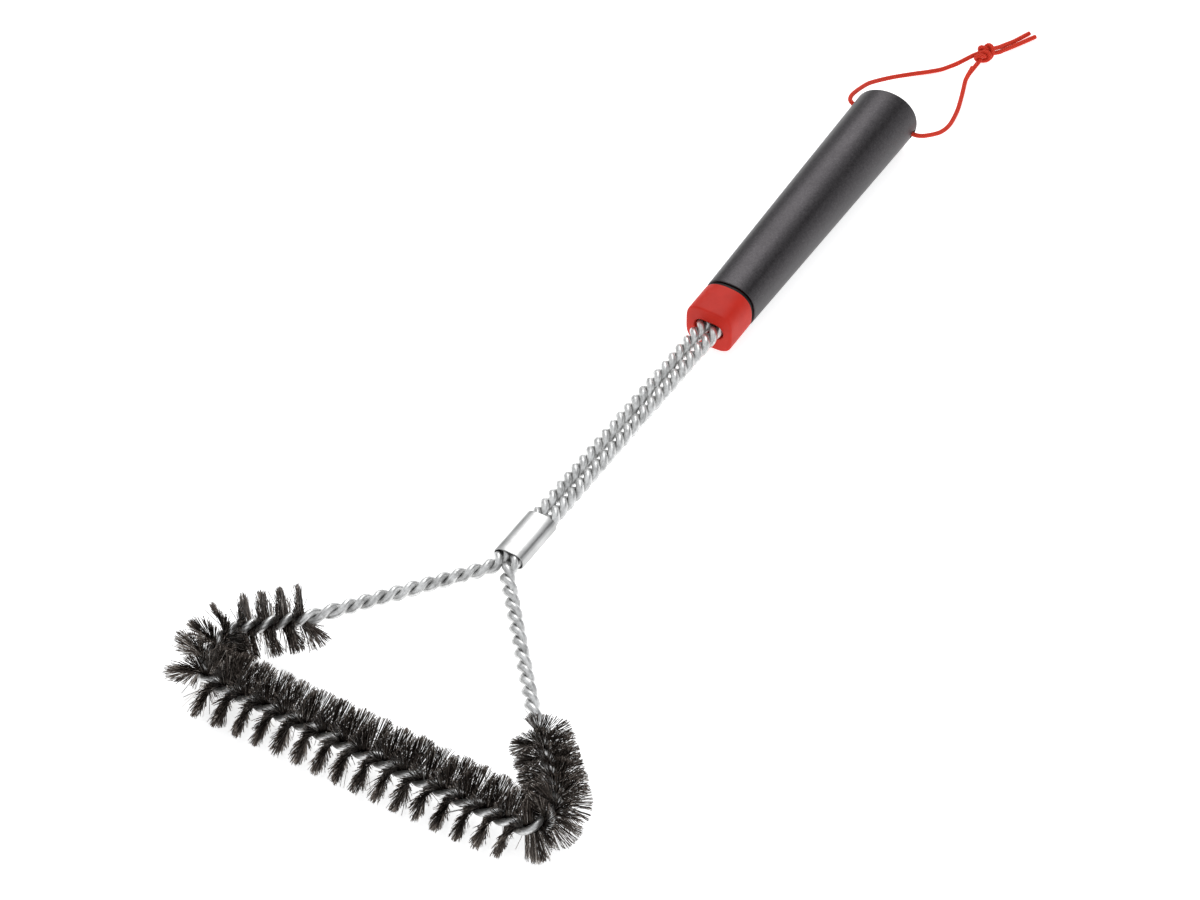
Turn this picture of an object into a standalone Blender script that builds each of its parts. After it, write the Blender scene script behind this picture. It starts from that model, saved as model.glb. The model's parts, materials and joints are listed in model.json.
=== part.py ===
"""Three-sided twisted-wire grill brush.

Two long wires are twisted together into one rope. The rope starts inside the handle, runs out along
the stem, turns at the ferrule into the left leg, crosses the front as the crossbar, and comes back
along the right leg and the stem into the handle. Steel bristles are held between the two wires round
the front, so they stand out as a double helical fin. A cord loop through the end of the handle hangs
the brush up.

Drawing coordinates are millimetres: y runs from the crossbar (0) back along the brush to the butt of
the handle, x is across, z is up from the surface that the brush lies on. to_part() turns them into
metres in the part's frame, whose origin is under the middle of the brush.
"""
import math

import bmesh
import bpy
import numpy as np
from mathutils import Matrix, Vector

MM = 0.001

# The middle of the brush, cord left out, in drawing coordinates
MIDDLE_X = 1.909
MIDDLE_Y = 210.332

# Wires and rope
WIRE_D = 3.0
HELIX_R = 1.67                   # from the rope's centre to each wire's centre
ROPE_SPACING = 6.7               # between the stem's two ropes
ROPE_R = HELIX_R + WIRE_D / 2
PITCH_STEM_LEFT = 12.45
PITCH_STEM_RIGHT = 13.2
PITCH_LEG = 13.6
PITCH_KNEE = 17.2                # where the bare rope runs into the bristles
PITCH_BRISTLED_LEFT = 15.8
PITCH_BRISTLED_RIGHT = 15.65
PITCH_CROSSBAR = 19.3
KNEE_RUN = 14.0
POINTS_PER_TURN = 7

# Route of the rope
BUTT_Y = 439.5
ROPE_END_Y = 340.0
COLLAR_Y = 281.7
APEX_Y = 109.0
APEX_Z = 24.4
KNEE_LEFT = (-55.0, 48.6)
KNEE_RIGHT = (51.7, 50.0)
OUTER_LEFT = (-80.3, 27.0)
OUTER_RIGHT = (84.5, 15.5)
CORNER_LEFT = (-80.3, 0.8)
CORNER_RIGHT = (85.9, -3.0)
BEND_APEX = 9.0
BEND_KNEE = 60.0
BEND_OUTER = 13.0
BEND_CORNER = 9.0
BEND_COLLAR = 120.0

# Bristles
BRISTLE_R = 18.0
TRIM_LEFT = 15.4
TRIM_FRONT = 18.0
TRIM_RIGHT = 16.4
TRIM_CHANGE = 12.0               # length over which one trim runs into the next
FIRST_FROM_KNEE = 1.5            # where the bristles start, from the left knee
LAST_FROM_KNEE = 10.5
BRISTLE_ROOT_R = 3.3
TUFT_ROOT_T = 1.0
TUFT_TIP_T = 2.6
FIN_STEPS_PER_TURN = 14
CORNER_REACH = 12.0              # of the corner's own fins, each way from the bend
SHORTEST = 1.0                   # of a bristle, beyond its root
CROWDING = 0.5                   # share of a bend's radius that its inside can fill with bristles
OTHER_STRETCH = 14.0             # length along the rope from which it counts as another stretch
STRETCH_CLEAR = 1.6              # between the tips of two stretches
REACH_STEP = 0.5
GAP = 0.3                        # between any two pieces

# Ferrule
FERRULE_LENGTH = 26.8
FERRULE_FRONT_Y = 116.0
FERRULE_WALL = 0.5

# Handle
BUTT_R = 14.5
BUTT_SLANT = 0.12                # the butt is cut askew: y grows by this much for each unit of x
BUTT_ROUND = 0.6
TUBE_FRONT_Y = 300.5
TUBE_FRONT_A = 12.1              # half width
TUBE_FRONT_B = 11.4              # half height
TUBE_FRONT_N = 2.5               # how square: 2 is an ellipse
TUBE_BUTT_N = 2.1
TUBE_WALL = 1.2
TUBE_STOPS = 5
TUBE_FRONT_ROUND = 0.3
HANDLE_DROP = 1.5                # the axis falls this much from the collar's face to the butt
HOLE_Y = 436.3                   # on the handle's axis
HOLE_R = 2.2
HOLE_SIDES = 20
HOLE_ROLL = math.radians(15)     # the hole runs down from left to right
PLUG_DEPTH = 0.9
PLUG_ROUND = 0.4
RING_T = 1.5
RING_RECESS = 0.5
COLLAR_A = 11.65
COLLAR_B = 10.95
COLLAR_N = 3.2
COLLAR_ROUND = 0.7
COLLAR_BACK_RECESS = 0.1         # the collar's back edge stands in from the tube by this much
SPIGOT_DEPTH = 12.0
SPIGOT_TAPER = 0.2
CHANNEL_W = 14.2
CHANNEL_H = 7.9
CORE_LENGTH = 26.0
CUT_OVER = 2.0                   # how far a cutter runs past the piece that it cuts

# Cord
CORD_D = 2.1

TILT = math.atan2(HANDLE_DROP, BUTT_Y - COLLAR_Y)

# Along the hole, which leans with the butt too
HOLE_AXIS = Vector((math.cos(HOLE_ROLL), BUTT_SLANT * math.cos(HOLE_ROLL), -math.sin(HOLE_ROLL))).normalized()


def to_part(point):
    """A drawing point in metres in the part's frame."""
    x, y, z = point
    return Vector(((x - MIDDLE_X) * MM, (y - MIDDLE_Y) * MM, z * MM))


def axis_z(y):
    """Height of the handle's axis."""
    return BUTT_R + (BUTT_Y - y) * math.tan(TILT)


def clear_scene():
    for old in list(bpy.data.objects):
        bpy.data.objects.remove(old, do_unlink=True)


def material(name, color, roughness, metallic):
    made = bpy.data.materials.new(name)
    made.use_nodes = True
    shader = made.node_tree.nodes["Principled BSDF"]
    shader.inputs["Base Color"].default_value = (*color, 1.0)
    shader.inputs["Roughness"].default_value = roughness
    shader.inputs["Metallic"].default_value = metallic
    return made


def add_object(name, data, made_material):
    made = bpy.data.objects.new(name, data)
    bpy.context.scene.collection.objects.link(made)
    made.data.materials.append(made_material)
    return made


def mesh_from(name, points, faces):
    mesh = bpy.data.meshes.new(name)
    mesh.from_pydata([tuple(p) for p in points], [], faces)
    outward = bmesh.new()
    outward.from_mesh(mesh)
    bmesh.ops.recalc_face_normals(outward, faces=outward.faces)
    outward.to_mesh(mesh)
    outward.free()
    mesh.shade_smooth()
    mesh.set_sharp_from_angle(angle=math.radians(35))
    return mesh


def add_cutter(name, points, faces):
    """A body that only cuts others."""
    cutter = bpy.data.objects.new(name, mesh_from(name, points, faces))
    bpy.context.scene.collection.objects.link(cutter)
    cutter.hide_render = True
    cutter.display_type = "WIRE"
    return cutter


def cut(target, cutter):
    boolean = target.modifiers.new("cut", "BOOLEAN")
    boolean.operation = "DIFFERENCE"
    boolean.object = cutter


# ---------------------------------------------------------------- route of the rope

def rounded_route(corners, radii, step=0.5):
    """Points every step along straight runs joined by arcs of the given radii."""
    corners = [np.array(c, float) for c in corners]
    points = [corners[0]]

    def run_to(end):
        start = points[-1]
        count = max(1, int(np.linalg.norm(end - start) / step))
        points.extend(start + (end - start) * (k + 1) / count for k in range(count))

    for before, here, after, radius in zip(corners, corners[1:], corners[2:], radii):
        inward = (before - here) / np.linalg.norm(before - here)
        outward = (after - here) / np.linalg.norm(after - here)
        turn = math.pi - math.acos(np.clip(inward @ outward, -1, 1))
        reach = radius * math.tan(turn / 2)
        middle = (inward + outward) / np.linalg.norm(inward + outward)
        centre = here + middle * radius / math.cos(turn / 2)
        start = here + inward * reach
        run_to(start)
        first = (start - centre) / radius
        second = -inward
        count = max(2, int(radius * turn / step))
        for k in range(1, count + 1):
            angle = turn * k / count
            points.append(centre + radius * (first * math.cos(angle) + second * math.sin(angle)))
    run_to(corners[-1])
    return np.array(points)


def head_z(y):
    """Height of the rope's centre in the head's plane."""
    return BRISTLE_R + (APEX_Z - BRISTLE_R) * y / APEX_Y


def side_route(side, knee, outer, corner):
    """Corners of one side of the rope, from the handle to the front corner."""
    x = side * ROPE_SPACING / 2
    return [
        (x, ROPE_END_Y, axis_z(ROPE_END_Y)),
        (x, COLLAR_Y, axis_z(COLLAR_Y)),
        (x, APEX_Y, APEX_Z),
        (*knee, head_z(knee[1])),
        (*outer, head_z(outer[1])),
        (*corner, BRISTLE_R),
    ]


class Rope:
    """The rope's centre line with its lengths, directions and twist."""

    def __init__(self):
        left = side_route(-1, KNEE_LEFT, OUTER_LEFT, CORNER_LEFT)
        right = side_route(1, KNEE_RIGHT, OUTER_RIGHT, CORNER_RIGHT)
        bends = [BEND_COLLAR, BEND_APEX, BEND_KNEE, BEND_OUTER, BEND_CORNER]
        self.points = rounded_route(left + right[::-1], bends + bends[::-1])
        steps = np.linalg.norm(np.diff(self.points, axis=0), axis=1)
        self.s = np.concatenate([[0.0], np.cumsum(steps)])
        self.length = self.s[-1]
        tangent = np.gradient(self.points, self.s, axis=0)
        self.tangent = tangent / np.linalg.norm(tangent, axis=1)[:, None]
        self.apex_left = self.s_nearest((-ROPE_SPACING / 2, APEX_Y, APEX_Z))
        self.apex_right = self.s_nearest((ROPE_SPACING / 2, APEX_Y, APEX_Z))
        self.first = self.s_nearest((*KNEE_LEFT, head_z(KNEE_LEFT[1]))) + FIRST_FROM_KNEE
        self.last = self.s_nearest((*KNEE_RIGHT, head_z(KNEE_RIGHT[1]))) - LAST_FROM_KNEE
        self.corner_left = self.s_nearest((*CORNER_LEFT, BRISTLE_R))
        self.corner_right = self.s_nearest((*CORNER_RIGHT, BRISTLE_R))
        outer_left = self.s_nearest((*OUTER_LEFT, head_z(OUTER_LEFT[1])))
        outer_right = self.s_nearest((*OUTER_RIGHT, head_z(OUTER_RIGHT[1])))
        self.trim_s = [outer_left, outer_left + TRIM_CHANGE, outer_right - TRIM_CHANGE, outer_right]
        self.trim_r = [TRIM_LEFT, TRIM_FRONT, TRIM_FRONT, TRIM_RIGHT]
        self.turned = self.twist_table()

    def s_nearest(self, point):
        return self.s[np.argmin(np.linalg.norm(self.points - np.array(point), axis=1))]

    def twist_table(self):
        """The rope's twist in radians at each point, left-handed."""
        pitch = np.full(len(self.s), PITCH_CROSSBAR)
        pitch[self.s < self.corner_left] = PITCH_BRISTLED_LEFT
        pitch[self.s > self.corner_right] = PITCH_BRISTLED_RIGHT
        pitch[(self.s < self.first) | (self.s > self.last)] = PITCH_KNEE
        pitch[(self.s < self.first - KNEE_RUN) | (self.s > self.last + KNEE_RUN)] = PITCH_LEG
        pitch[self.s < self.apex_left] = PITCH_STEM_LEFT
        pitch[self.s > self.apex_right] = PITCH_STEM_RIGHT
        rate = 2 * math.pi / pitch
        return -np.concatenate([[0.0], np.cumsum((rate[1:] + rate[:-1]) / 2 * np.diff(self.s))])

    def at(self, s):
        """Centre, two cross directions and tangent at length s."""
        centre = np.array([np.interp(s, self.s, self.points[:, k]) for k in range(3)])
        tangent = np.array([np.interp(s, self.s, self.tangent[:, k]) for k in range(3)])
        tangent /= np.linalg.norm(tangent)
        up = np.array([0.0, 0.0, 1.0]) - tangent[2] * tangent
        up /= np.linalg.norm(up)
        side = np.cross(up, tangent)
        return centre, side, up, tangent

    def twist(self, s):
        return np.interp(s, self.s, self.turned)

    def stations(self, start, end, per_turn):
        """Lengths between start and end at even steps of twist."""
        first, last = self.twist(start), self.twist(end)
        count = max(3, int(round(abs(last - first) / (2 * math.pi) * per_turn)) + 1)
        turns = np.linspace(first, last, count)
        return np.interp(-turns, -self.turned, self.s)

    def bend_limit(self, s, direction):
        """How far a bristle may reach on the inside of a bend before it crowds its neighbours."""
        before = self.at(s - 1.0)[3]
        after = self.at(s + 1.0)[3]
        inward = (after - before) / 2.0 @ direction
        return CROWDING / inward if inward > CROWDING / BRISTLE_R else BRISTLE_R

    def open_reach(self, s, direction):
        """How far a bristle may reach before it meets the bristles of another stretch."""
        centre = self.at(s)[0]
        far = np.abs(self.s - s) > OTHER_STRETCH
        bristled = (self.s > self.first) & (self.s < self.last)
        others = self.points[far & bristled]
        for radius in np.arange(BRISTLE_R, BRISTLE_ROOT_R + SHORTEST, -REACH_STEP):
            tip = centre + direction * radius
            if np.linalg.norm(others - tip, axis=1).min() >= radius + STRETCH_CLEAR:
                return radius
        return BRISTLE_ROOT_R + SHORTEST


# ---------------------------------------------------------------- wire head

def twisted_wire(rope, name, phase, made_material):
    curve = bpy.data.curves.new(name, "CURVE")
    curve.dimensions = "3D"
    curve.bevel_depth = WIRE_D / 2 * MM
    curve.bevel_resolution = 1
    curve.use_fill_caps = True
    lengths = rope.stations(0.0, rope.length, POINTS_PER_TURN)
    spline = curve.splines.new("POLY")
    spline.points.add(len(lengths) - 1)
    for point, s in zip(spline.points, lengths):
        centre, side, up, _ = rope.at(s)
        angle = rope.twist(s) + phase
        place = centre + HELIX_R * (math.cos(angle) * side + math.sin(angle) * up)
        point.co = (*to_part(place), 1.0)
    spline.use_smooth = True
    return add_object(name, curve, made_material)


def bristle_fin(rope, name, start, end, phase, made_material):
    """One blade of the bristles' double helix, between two lengths of the rope."""
    points = []
    lengths = rope.stations(start, end, FIN_STEPS_PER_TURN)
    for s in lengths:
        centre, side, up, tangent = rope.at(s)
        angle = rope.twist(s) + phase
        outward = math.cos(angle) * side + math.sin(angle) * up
        trim = np.interp(s, rope.trim_s, rope.trim_r)
        reach = min(trim, rope.bend_limit(s, outward), rope.open_reach(s, outward))
        reach = max(reach, BRISTLE_ROOT_R + SHORTEST)
        spread = (reach - BRISTLE_ROOT_R) / (BRISTLE_R - BRISTLE_ROOT_R)
        tip_t = TUFT_ROOT_T + (TUFT_TIP_T - TUFT_ROOT_T) * spread
        for radius, offset in ((BRISTLE_ROOT_R, -TUFT_ROOT_T / 2), (BRISTLE_ROOT_R, TUFT_ROOT_T / 2),
                               (reach, tip_t / 2), (reach, -tip_t / 2)):
            points.append(to_part(centre + outward * radius + tangent * offset))
    faces = [(0, 1, 2, 3)]
    for k in range(len(lengths) - 1):
        a, b = 4 * k, 4 * (k + 1)
        for i in range(4):
            j = (i + 1) % 4
            faces.append((a + i, b + i, b + j, a + j))
    last = 4 * (len(lengths) - 1)
    faces.append((last + 3, last + 2, last + 1, last))
    return add_object(name, mesh_from(name, points, faces), made_material)


def add_bristles(rope, made_material):
    left_in, left_out = rope.corner_left - CORNER_REACH, rope.corner_left + CORNER_REACH
    right_in, right_out = rope.corner_right - CORNER_REACH, rope.corner_right + CORNER_REACH
    stretches = {
        "bristles_left": (rope.first, left_in),
        "bristles_left_corner": (left_in, left_out),
        "bristles_front": (left_out, right_in),
        "bristles_right_corner": (right_in, right_out),
        "bristles_right": (right_out, rope.last),
    }
    for name, (start, end) in stretches.items():
        for letter, phase in (("a", math.pi / 2), ("b", -math.pi / 2)):
            bristle_fin(rope, f"{name}_{letter}", start + GAP, end - GAP, phase, made_material)


def prism(outline, start, end, frame):
    """Points and faces of a straight prism along the frame's y axis; outline is a list of (x, z)."""
    count = len(outline)
    points = [frame @ Vector((x * MM, y * MM, z * MM)) for y in (start, end) for x, z in outline]
    faces = [tuple(range(count)), tuple(range(2 * count - 1, count - 1, -1))]
    faces += [(i, count + i, count + (i + 1) % count, (i + 1) % count) for i in range(count)]
    return points, faces


def stadium(width, height, steps=8):
    """A slot-shaped outline."""
    radius = height / 2
    half = width / 2 - radius
    points = []
    for centre, start in ((half, -90.0), (-half, 90.0)):
        for k in range(steps + 1):
            angle = math.radians(start + 180.0 * k / steps)
            points.append((centre + radius * math.cos(angle), radius * math.sin(angle)))
    return points


def add_ferrule(made_material):
    slope = math.atan2(APEX_Z - axis_z(COLLAR_Y), COLLAR_Y - APEX_Y)
    front_z = APEX_Z - (FERRULE_FRONT_Y - APEX_Y) * math.tan(slope)
    frame = Matrix.Translation(to_part((0.0, FERRULE_FRONT_Y, front_z))) @ Matrix.Rotation(-slope, 4, "X")
    inner_w = ROPE_SPACING + 2 * ROPE_R + 2 * GAP
    inner_h = 2 * ROPE_R + 2 * GAP
    outer = stadium(inner_w + 2 * FERRULE_WALL, inner_h + 2 * FERRULE_WALL)
    body = mesh_from("ferrule", *prism(outer, 0.0, FERRULE_LENGTH, frame))
    ferrule = add_object("ferrule", body, made_material)
    bore = prism(stadium(inner_w, inner_h), -CUT_OVER, FERRULE_LENGTH + CUT_OVER, frame)
    cut(ferrule, add_cutter("ferrule_bore", *bore))


# ---------------------------------------------------------------- handle

def squircle(a, b, n, steps=36):
    """A rounded outline of half width a and half height b; n is 2 for an ellipse, more for squarer."""
    points = []
    for k in range(steps):
        angle = 2 * math.pi * k / steps
        c, s = math.cos(angle), math.sin(angle)
        points.append((a * math.copysign(abs(c) ** (2 / n), c), b * math.copysign(abs(s) ** (2 / n), s)))
    return points


def handle_frame():
    """The handle's own axes: origin at the butt's centre, y along its axis, away from the head."""
    return Matrix.Translation(to_part((0.0, BUTT_Y, BUTT_R))) @ Matrix.Rotation(-TILT, 4, "X")


def tube_section(y, inset):
    """The tube's outline at y, moved in by inset."""
    t = (y - TUBE_FRONT_Y) / (BUTT_Y - TUBE_FRONT_Y)
    a = TUBE_FRONT_A + (BUTT_R - TUBE_FRONT_A) * t - inset
    b = TUBE_FRONT_B + (BUTT_R - TUBE_FRONT_B) * t - inset
    n = TUBE_FRONT_N + (TUBE_BUTT_N - TUBE_FRONT_N) * t
    return squircle(a, b, n)


def ring_at(y, outline, slant=0.0):
    """An outline set across the handle at y, with its plane leaning by slant."""
    return [(x, y + slant * x, z) for x, z in outline]


def tube_ring(y, inset, slant=0.0):
    return ring_at(y, tube_section(y, inset), slant)


def loft(name, rings, made_material, closed=False):
    """Join rings of points into one body, with flat ends or closed round on itself."""
    frame = handle_frame()
    count = len(rings[0])
    points = [frame @ Vector((x * MM, (y - BUTT_Y) * MM, z * MM)) for ring in rings for x, y, z in ring]
    faces = []
    for k in range(len(rings) if closed else len(rings) - 1):
        a, b = k * count, (k + 1) % len(rings) * count
        faces += [(a + i, b + i, b + (i + 1) % count, a + (i + 1) % count) for i in range(count)]
    if not closed:
        faces.append(tuple(range(count)))
        faces.append(tuple(range(len(points) - 1, len(points) - count - 1, -1)))
    return add_object(name, mesh_from(name, points, faces), made_material)


def add_tube(made_material):
    """The handle's shell, with a hole right across it near the butt for the cord."""
    stops = np.linspace(TUBE_FRONT_Y, BUTT_Y, TUBE_STOPS)
    rings = [tube_ring(TUBE_FRONT_Y, TUBE_FRONT_ROUND), tube_ring(TUBE_FRONT_Y + TUBE_FRONT_ROUND, 0.0)]
    rings += [tube_ring(y, 0.0) for y in stops[1:-1]]
    rings.append(tube_ring(BUTT_Y - BUTT_ROUND, 0.0, BUTT_SLANT))
    rings.append(tube_ring(BUTT_Y, BUTT_ROUND, BUTT_SLANT))
    rings.append(tube_ring(BUTT_Y, TUBE_WALL, BUTT_SLANT))
    rings += [tube_ring(y, TUBE_WALL) for y in stops[-2::-1]]
    tube = loft("handle_tube", rings, made_material, closed=True)

    along = Vector((0.0, 0.0, 1.0)).cross(HOLE_AXIS).normalized()
    upward = HOLE_AXIS.cross(along)
    middle = Vector((0.0, HOLE_Y - BUTT_Y, 0.0))
    frame = handle_frame()
    points = []
    for end in (-1, 1):
        centre = middle + HOLE_AXIS * end * (BUTT_R + CUT_OVER)
        for k in range(HOLE_SIDES):
            turn = 2 * math.pi * k / HOLE_SIDES
            edge = centre + HOLE_R * (math.cos(turn) * along + math.sin(turn) * upward)
            points.append(frame @ (edge * MM))
    faces = [tuple(range(HOLE_SIDES)), tuple(range(HOLE_SIDES, 2 * HOLE_SIDES))]
    faces += [(i, (i + 1) % HOLE_SIDES, HOLE_SIDES + (i + 1) % HOLE_SIDES, HOLE_SIDES + i)
              for i in range(HOLE_SIDES)]
    cut(tube, add_cutter("cord_hole", points, faces))


def add_channel(target, name, start, end):
    """Cut the passage of the two ropes through target, between two places along the handle."""
    outline = stadium(CHANNEL_W, CHANNEL_H)
    cut(target, add_cutter(name, *prism(outline, start - BUTT_Y, end - BUTT_Y, handle_frame())))


def add_handle(materials):
    add_tube(materials["handle"])

    clear = TUBE_WALL + GAP
    loft("end_plug", [tube_ring(BUTT_Y - PLUG_DEPTH, clear, BUTT_SLANT),
                      tube_ring(BUTT_Y - PLUG_ROUND, clear, BUTT_SLANT),
                      tube_ring(BUTT_Y, clear + PLUG_ROUND, BUTT_SLANT)], materials["plastic"])

    ring_front = TUBE_FRONT_Y - RING_T - GAP
    ring_edge = tube_section(TUBE_FRONT_Y, RING_RECESS)
    ring_bore = tube_section(TUBE_FRONT_Y, TUBE_WALL)
    loft("spacer_ring", [ring_at(ring_front, ring_edge), ring_at(ring_front + RING_T, ring_edge),
                         ring_at(ring_front + RING_T, ring_bore), ring_at(ring_front, ring_bore)],
         materials["plastic"], closed=True)

    collar_back = ring_front - GAP
    spigot_end = TUBE_FRONT_Y + SPIGOT_DEPTH
    face = squircle(COLLAR_A - COLLAR_ROUND, COLLAR_B - COLLAR_ROUND, COLLAR_N)
    spigot = tube_section(TUBE_FRONT_Y, clear)
    collar = loft("collar", [ring_at(COLLAR_Y, face),
                             ring_at(COLLAR_Y + COLLAR_ROUND, squircle(COLLAR_A, COLLAR_B, COLLAR_N)),
                             ring_at(collar_back, tube_section(TUBE_FRONT_Y, COLLAR_BACK_RECESS)),
                             ring_at(collar_back, spigot),
                             tube_ring(spigot_end, clear + SPIGOT_TAPER)], materials["collar"])
    add_channel(collar, "collar_channel", COLLAR_Y - CUT_OVER, spigot_end + CUT_OVER)

    core_front = spigot_end + GAP
    core = loft("wire_core", [tube_ring(core_front, clear), tube_ring(core_front + CORE_LENGTH, clear)],
                materials["plastic"])
    add_channel(core, "core_channel", core_front - CUT_OVER, ROPE_END_Y + GAP)


# ---------------------------------------------------------------- cord

CORD_FLOOR_Z = CORD_D / 2 + 0.35
KNOT_CENTRE = (13.9, 505.4, 4.9)
KNOT_HALF = (5.6, 5.6, 4.6)
LEFT_ARM = [(-10.0, 435.1, 17.2), (-12.4, 434.8, 17.85), (-14.6, 434.8, 18.3), (-16.3, 435.7, 18.4),
            (-17.5, 437.7, 18.0), (-18.2, 440.7, 17.2), (-18.7, 446.0, 15.2), (-19.1, 453.3, 12.0),
            (-19.0, 458.6, 9.6), (-17.6, 465.0, 6.8), (-15.4, 471.2, 4.4), (-12.4, 476.8, 2.6),
            (-8.5, 481.9, 1.6), (-4.1, 486.1, CORD_FLOOR_Z), (0.2, 490.2, 1.6), (3.3, 493.6, 2.4),
            (6.1, 496.6, 3.6)]
RIGHT_ARM = [(10.0, 437.5, 11.85), (12.4, 437.8, 11.2), (14.4, 438.2, 10.7), (16.3, 439.0, 10.2),
             (18.0, 440.7, 9.5), (19.3, 443.2, 8.5), (20.6, 446.6, 7.1), (21.5, 450.8, 5.4), (21.7, 456.0, 3.8),
             (21.0, 462.2, 2.4), (19.2, 470.7, 1.5), (17.0, 477.9, CORD_FLOOR_Z), (14.9, 484.1, 1.5),
             (13.0, 490.0, 2.0), (12.5, 497.0, 3.3)]
TAIL_LEFT = [(16.6, 511.2, 4.9), (17.8, 517.0, 3.4), (19.7, 522.9, 2.0), (22.9, 531.7, CORD_FLOOR_Z)]
TAIL_RIGHT = [(18.6, 511.6, 3.3), (20.4, 516.4, 2.4), (22.4, 521.5, 1.6), (26.3, 531.1, CORD_FLOOR_Z)]


def smooth_through(route, step):
    """Points every step along a Catmull-Rom curve through the route."""
    route = np.array(route, float)
    padded = np.vstack([2 * route[0] - route[1], route, 2 * route[-1] - route[-2]])
    dense = []
    for a, b, c, d in zip(padded, padded[1:], padded[2:], padded[3:]):
        for t in np.linspace(0, 1, 30, endpoint=False):
            dense.append(0.5 * (2 * b + (c - a) * t + (2 * a - 5 * b + 4 * c - d) * t ** 2
                                + (3 * b - a - 3 * c + d) * t ** 3))
    dense.append(route[-1])
    dense = np.array(dense)
    s = np.concatenate([[0.0], np.cumsum(np.linalg.norm(np.diff(dense, axis=0), axis=1))])
    wanted = np.linspace(0, s[-1], max(2, int(round(s[-1] / step)) + 1))
    return np.stack([np.interp(wanted, s, dense[:, k]) for k in range(3)], axis=1)


def cord_tube(name, route, made_material, pivot):
    curve = bpy.data.curves.new(name, "CURVE")
    curve.dimensions = "3D"
    curve.bevel_depth = CORD_D / 2 * MM
    curve.bevel_resolution = 2
    curve.use_fill_caps = True
    points = smooth_through(route, 1.8 * CORD_D)
    spline = curve.splines.new("POLY")
    spline.points.add(len(points) - 1)
    for point, place in zip(spline.points, points):
        point.co = (*(to_part(place) - pivot.location), 1.0)
    spline.use_smooth = True
    made = add_object(name, curve, made_material)
    made.parent = pivot


def add_cord(made_material):
    pivot = bpy.data.objects.new("loop_pivot", None)
    bpy.context.scene.collection.objects.link(pivot)
    middle = Vector((0.0, HOLE_Y, axis_z(HOLE_Y)))
    pivot.location = to_part(middle)
    through = [middle - 5.0 * HOLE_AXIS, middle + 5.0 * HOLE_AXIS]
    cord_tube("cord_loop", LEFT_ARM[::-1] + through + RIGHT_ARM, made_material, pivot)
    cord_tube("cord_tail_left", TAIL_LEFT, made_material, pivot)
    cord_tube("cord_tail_right", TAIL_RIGHT, made_material, pivot)

    ball = bmesh.new()
    bmesh.ops.create_icosphere(ball, subdivisions=2, radius=1.0)
    bmesh.ops.scale(ball, vec=Vector(KNOT_HALF) * MM, verts=ball.verts)
    bmesh.ops.translate(ball, vec=to_part(KNOT_CENTRE) - pivot.location, verts=ball.verts)
    mesh = bpy.data.meshes.new("cord_knot")
    ball.to_mesh(mesh)
    ball.free()
    mesh.shade_smooth()
    add_object("cord_knot", mesh, made_material).parent = pivot


def main():
    clear_scene()
    materials = {
        "wire": material("zinc_wire", (0.62, 0.62, 0.60), 0.38, 1.0),
        "bristle": material("bristle_steel", (0.045, 0.036, 0.032), 0.45, 0.7),
        "ferrule": material("polished_steel", (0.80, 0.80, 0.80), 0.16, 1.0),
        "handle": material("handle_grey", (0.085, 0.082, 0.085), 0.42, 0.6),
        "collar": material("red_plastic", (0.72, 0.045, 0.022), 0.40, 0.0),
        "plastic": material("black_plastic", (0.012, 0.012, 0.012), 0.5, 0.0),
        "cord": material("orange_cord", (0.66, 0.050, 0.018), 0.8, 0.0),
    }
    rope = Rope()
    twisted_wire(rope, "wire_a", 0.0, materials["wire"])
    twisted_wire(rope, "wire_b", math.pi, materials["wire"])
    add_bristles(rope, materials["bristle"])
    add_ferrule(materials["ferrule"])
    add_handle(materials)
    add_cord(materials["cord"])


main()
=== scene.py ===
"""Looks of the three-sided twisted-wire grill brush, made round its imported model.

Drawing coordinates are millimetres: y runs from the crossbar (0) back along the brush to the butt of the
handle, x is across, z is up from the surface that the brush lies on. place() turns them into metres in
the frame, whose own joint says where the drawing's origin is.
"""
import json
import math

import bpy
import numpy as np
from mathutils import Matrix, Vector


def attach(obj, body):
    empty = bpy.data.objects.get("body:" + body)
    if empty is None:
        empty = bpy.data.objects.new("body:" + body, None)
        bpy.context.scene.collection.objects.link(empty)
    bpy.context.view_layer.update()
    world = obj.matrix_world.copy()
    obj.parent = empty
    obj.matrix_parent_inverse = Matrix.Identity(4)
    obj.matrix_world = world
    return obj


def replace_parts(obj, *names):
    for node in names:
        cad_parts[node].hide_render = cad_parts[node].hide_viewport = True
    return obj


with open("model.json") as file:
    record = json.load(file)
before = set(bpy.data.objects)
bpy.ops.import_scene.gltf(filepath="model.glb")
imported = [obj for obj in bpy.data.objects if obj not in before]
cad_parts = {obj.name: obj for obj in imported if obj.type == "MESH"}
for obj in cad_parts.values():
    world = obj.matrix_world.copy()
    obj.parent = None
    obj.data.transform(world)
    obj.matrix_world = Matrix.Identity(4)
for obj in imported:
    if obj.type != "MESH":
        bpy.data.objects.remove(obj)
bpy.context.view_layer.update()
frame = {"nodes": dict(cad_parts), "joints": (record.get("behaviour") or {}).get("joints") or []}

MM = 0.001

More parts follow.
